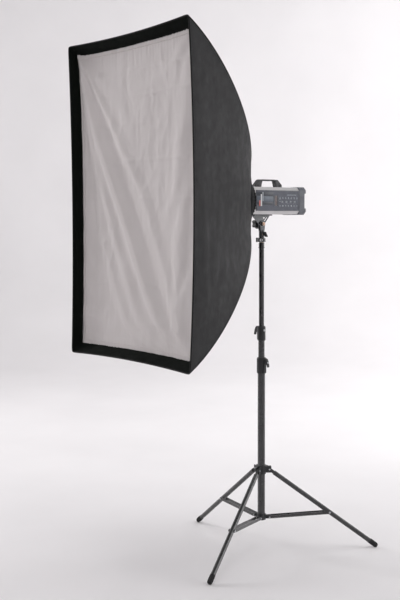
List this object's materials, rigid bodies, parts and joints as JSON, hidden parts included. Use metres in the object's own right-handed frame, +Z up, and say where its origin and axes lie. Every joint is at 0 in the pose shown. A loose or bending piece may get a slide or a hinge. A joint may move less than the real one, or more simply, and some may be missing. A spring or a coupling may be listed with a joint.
{
  "type": "studio softbox",
  "caption": "Rectangular softbox on a studio flash head, carried by a swivelling and tilting bracket on a telescoping light stand with folding legs.",
  "frame": {"origin": "centre of the whole object's box in plan, on the floor under the feet", "axes": "+Z up; the softbox faces -Y; +X is the side of the flash head that carries its controls"},
  "size_m": [0.8836, 1.0562, 2.028],
  "materials": {
    "panel_right": "woven nylon, slightly shiny",
    "panel_left": "woven nylon, slightly shiny",
    "panel_top": "woven nylon, slightly shiny",
    "panel_bottom": "woven nylon, slightly shiny",
    "front_lip": "woven nylon, slightly shiny",
    "front_diffuser": "matte translucent weave",
    "inner_baffle": "matte translucent weave",
    "rod_1": "satin",
    "rod_2": "satin",
    "rod_3": "satin",
    "rod_4": "satin",
    "speedring": "satin cast",
    "rear_collar": "woven nylon, slightly shiny",
    "bracket_plate": "satin black anodised",
    "front_frame": "matte",
    "rear_frame": "matte",
    "housing": "satin painted",
    "rear_panel": "satin",
    "mains_inlet": "matte",
    "capacitor": "satin painted",
    "circuit_board": "matte",
    "side_panel": "satin",
    "display": "gloss",
    "handle": "matte",
    "glass_dome": "gloss",
    "flash_tube": "gloss",
    "modelling_lamp": "gloss",
    "bayonet_ring": "polished",
    "power_switch": "matte",
    "fan_rotor": "matte",
    "button_1": "matte",
    "button_2": "matte",
    "button_3": "matte",
    "button_4": "matte",
    "release_lever": "polished",
    "bracket_fork": "satin black anodised",
    "pivot_bolt": "polished",
    "tilt_knob": "matte",
    "spigot_screw": "matte",
    "adapter_screw": "matte",
    "column_tube": "satin black anodised",
    "middle_tube": "satin black anodised",
    "top_tube": "satin black anodised",
    "spigot": "satin",
    "lower_clamp": "matte",
    "upper_clamp": "matte",
    "lower_clamp_lever": "matte",
    "upper_clamp_lever": "matte",
    "leg_collar": "matte",
    "collar_knob": "matte",
    "brace_collar": "matte",
    "leg_1": "satin black anodised",
    "leg_2": "satin black anodised",
    "leg_3": "satin black anodised",
    "brace_1": "satin black anodised",
    "brace_2": "satin black anodised",
    "brace_3": "satin black anodised",
    "foot_1": "matte",
    "foot_2": "matte",
    "foot_3": "matte"
  },
  "bodies": {
    "column": {"column_tube": "column_tube", "lower_clamp": "lower_clamp", "brace_collar": "brace_collar"},
    "middle_section": {"middle_tube": "middle_tube", "upper_clamp": "upper_clamp"},
    "top_section": {"top_tube": "top_tube", "spigot": "spigot"},
    "swivel": {"bracket_fork": "bracket_fork", "pivot_bolt": "pivot_bolt"},
    "flash_head": {"bracket_plate": "bracket_plate", "front_frame": "front_frame", "rear_frame": "rear_frame", "housing": "housing", "rear_panel": "rear_panel", "mains_inlet": "mains_inlet", "capacitor": "capacitor", "circuit_board": "circuit_board", "side_panel": "side_panel", "display": "display", "handle": "handle", "glass_dome": "glass_dome", "flash_tube": "flash_tube", "modelling_lamp": "modelling_lamp", "bayonet_ring": "bayonet_ring"},
    "softbox": {"panel_right": "panel_right", "panel_left": "panel_left", "panel_top": "panel_top", "panel_bottom": "panel_bottom", "front_lip": "front_lip", "front_diffuser": "front_diffuser", "inner_baffle": "inner_baffle", "rod_1": "rod_1", "rod_2": "rod_2", "rod_3": "rod_3", "rod_4": "rod_4", "speedring": "speedring", "rear_collar": "rear_collar"},
    "leg_collar": {"leg_collar": "leg_collar"},
    "collar_knob": {"collar_knob": "collar_knob"},
    "leg_1": {"leg_1": "leg_1", "foot_1": "foot_1"},
    "brace_1": {"brace_1": "brace_1"},
    "leg_2": {"leg_2": "leg_2", "foot_2": "foot_2"},
    "brace_2": {"brace_2": "brace_2"},
    "leg_3": {"leg_3": "leg_3", "foot_3": "foot_3"},
    "brace_3": {"brace_3": "brace_3"},
    "lower_clamp_lever": {"lower_clamp_lever": "lower_clamp_lever"},
    "upper_clamp_lever": {"upper_clamp_lever": "upper_clamp_lever"},
    "tilt_knob": {"tilt_knob": "tilt_knob"},
    "spigot_screw": {"spigot_screw": "spigot_screw"},
    "adapter_screw": {"adapter_screw": "adapter_screw"},
    "power_switch": {"power_switch": "power_switch"},
    "fan_rotor": {"fan_rotor": "fan_rotor"},
    "button_1": {"button_1": "button_1"},
    "button_2": {"button_2": "button_2"},
    "button_3": {"button_3": "button_3"},
    "button_4": {"button_4": "button_4"},
    "release_lever": {"release_lever": "release_lever"}
  },
  "joints": [
    {"name": "middle_section_slide", "type": "slide", "parent": "column", "child": "middle_section", "axis": [0, 0, 1], "range_m": [-0.065, 0.35]},
    {"name": "top_section_slide", "type": "slide", "parent": "middle_section", "child": "top_section", "axis": [0, 0, 1], "range_m": [-0.31, 0.18]},
    {"name": "head_swivel", "type": "hinge", "parent": "top_section", "child": "swivel", "pos_m": [0.04177, 0.12291, 1.336], "axis": [0, 0, 1], "continuous": true},
    {"name": "head_tilt", "type": "hinge", "parent": "swivel", "child": "flash_head", "pos_m": [0.04177, 0.12291, 1.336], "axis": [1, 0, 0], "range_deg": [-80, 40]},
    {"name": "softbox_turn", "type": "hinge", "parent": "flash_head", "child": "softbox", "pos_m": [0.04177, -0.00817, 1.428], "axis": [0, 1, 0], "continuous": true},
    {"name": "leg_fold", "type": "slide", "parent": "column", "child": "leg_collar", "axis": [0, 0, 1], "range_m": [0, 0.356]},
    {"name": "leg_1_hinge", "type": "hinge", "parent": "leg_collar", "child": "leg_1", "pos_m": [0.00884, 0.12498, 0.334], "axis": [-0.0628, -0.998, 0], "range_deg": [0, 48]},
    {"name": "brace_1_hinge", "type": "hinge", "parent": "column", "child": "brace_1", "pos_m": [0.00884, 0.12498, 0.137], "axis": [0.0628, 0.998, 0], "range_deg": [0, 79.5]},
    {"name": "leg_2_hinge", "type": "hinge", "parent": "leg_collar", "child": "leg_2", "pos_m": [0.05645, 0.09335, 0.334], "axis": [0.8957, 0.4446, 0], "range_deg": [0, 48]},
    {"name": "brace_2_hinge", "type": "hinge", "parent": "column", "child": "brace_2", "pos_m": [0.05645, 0.09335, 0.137], "axis": [-0.8957, -0.4446, 0], "range_deg": [0, 79.5]},
    {"name": "leg_3_hinge", "type": "hinge", "parent": "leg_collar", "child": "leg_3", "pos_m": [0.06003, 0.15039, 0.334], "axis": [-0.8329, 0.5534, 0], "range_deg": [0, 48]},
    {"name": "brace_3_hinge", "type": "hinge", "parent": "column", "child": "brace_3", "pos_m": [0.06003, 0.15039, 0.137], "axis": [0.8329, -0.5534, 0], "range_deg": [0, 79.5]},
    {"name": "lower_lever_turn", "type": "hinge", "parent": "column", "child": "lower_clamp_lever", "pos_m": [0.04177, 0.12291, 0.779], "axis": [1, 0, 0], "range_deg": [0, 270]},
    {"name": "upper_lever_turn", "type": "hinge", "parent": "middle_section", "child": "upper_clamp_lever", "pos_m": [0.04177, 0.12291, 0.907], "axis": [1, 0, 0], "range_deg": [0, 270]},
    {"name": "collar_knob_turn", "type": "hinge", "parent": "leg_collar", "child": "collar_knob", "pos_m": [0.04177, 0.12291, 0.334], "axis": [-0.4446, 0.8957, 0], "range_deg": [0, 270]},
    {"name": "tilt_knob_turn", "type": "hinge", "parent": "swivel", "child": "tilt_knob", "pos_m": [0.04177, 0.12291, 1.336], "axis": [1, 0, 0], "range_deg": [0, 270]},
    {"name": "spigot_screw_turn", "type": "hinge", "parent": "swivel", "child": "spigot_screw", "pos_m": [0.04177, 0.12291, 1.294], "axis": [1, 0, 0], "range_deg": [0, 270]},
    {"name": "adapter_screw_turn", "type": "hinge", "parent": "swivel", "child": "adapter_screw", "pos_m": [0.04177, 0.12291, 1.271], "axis": [1, 0, 0], "range_deg": [0, 270]},
    {"name": "power_switch_rock", "type": "hinge", "parent": "flash_head", "child": "power_switch", "pos_m": [0.06377, 0.29141, 1.402], "axis": [1, 0, 0], "range_deg": [0, 16]},
    {"name": "fan_spin", "type": "hinge", "parent": "flash_head", "child": "fan_rotor", "pos_m": [0.04177, 0.27991, 1.442], "axis": [0, 1, 0], "continuous": true},
    {"name": "button_1_press", "type": "slide", "parent": "flash_head", "child": "button_1", "axis": [-1, 0, 0], "range_m": [0, 0.0012], "stiffness_N_per_m": 400},
    {"name": "button_2_press", "type": "slide", "parent": "flash_head", "child": "button_2", "axis": [-1, 0, 0], "range_m": [0, 0.0012], "stiffness_N_per_m": 400},
    {"name": "button_3_press", "type": "slide", "parent": "flash_head", "child": "button_3", "axis": [-1, 0, 0], "range_m": [0, 0.0012], "stiffness_N_per_m": 400},
    {"name": "button_4_press", "type": "slide", "parent": "flash_head", "child": "button_4", "axis": [-1, 0, 0], "range_m": [0, 0.0012], "stiffness_N_per_m": 400},
    {"name": "release_lever_press", "type": "slide", "parent": "flash_head", "child": "release_lever", "axis": [1, 0, 0], "range_m": [0, 0.006], "stiffness_N_per_m": 200}
  ],
  "couplings": [
    {"joint": "leg_1_hinge", "follows": "leg_fold", "rad_per_m": 2.337},
    {"joint": "brace_1_hinge", "follows": "leg_fold", "rad_per_m": 3.8831},
    {"joint": "leg_2_hinge", "follows": "leg_fold", "rad_per_m": 2.337},
    {"joint": "brace_2_hinge", "follows": "leg_fold", "rad_per_m": 3.8831},
    {"joint": "leg_3_hinge", "follows": "leg_fold", "rad_per_m": 2.337},
    {"joint": "brace_3_hinge", "follows": "leg_fold", "rad_per_m": 3.8831}
  ]
}
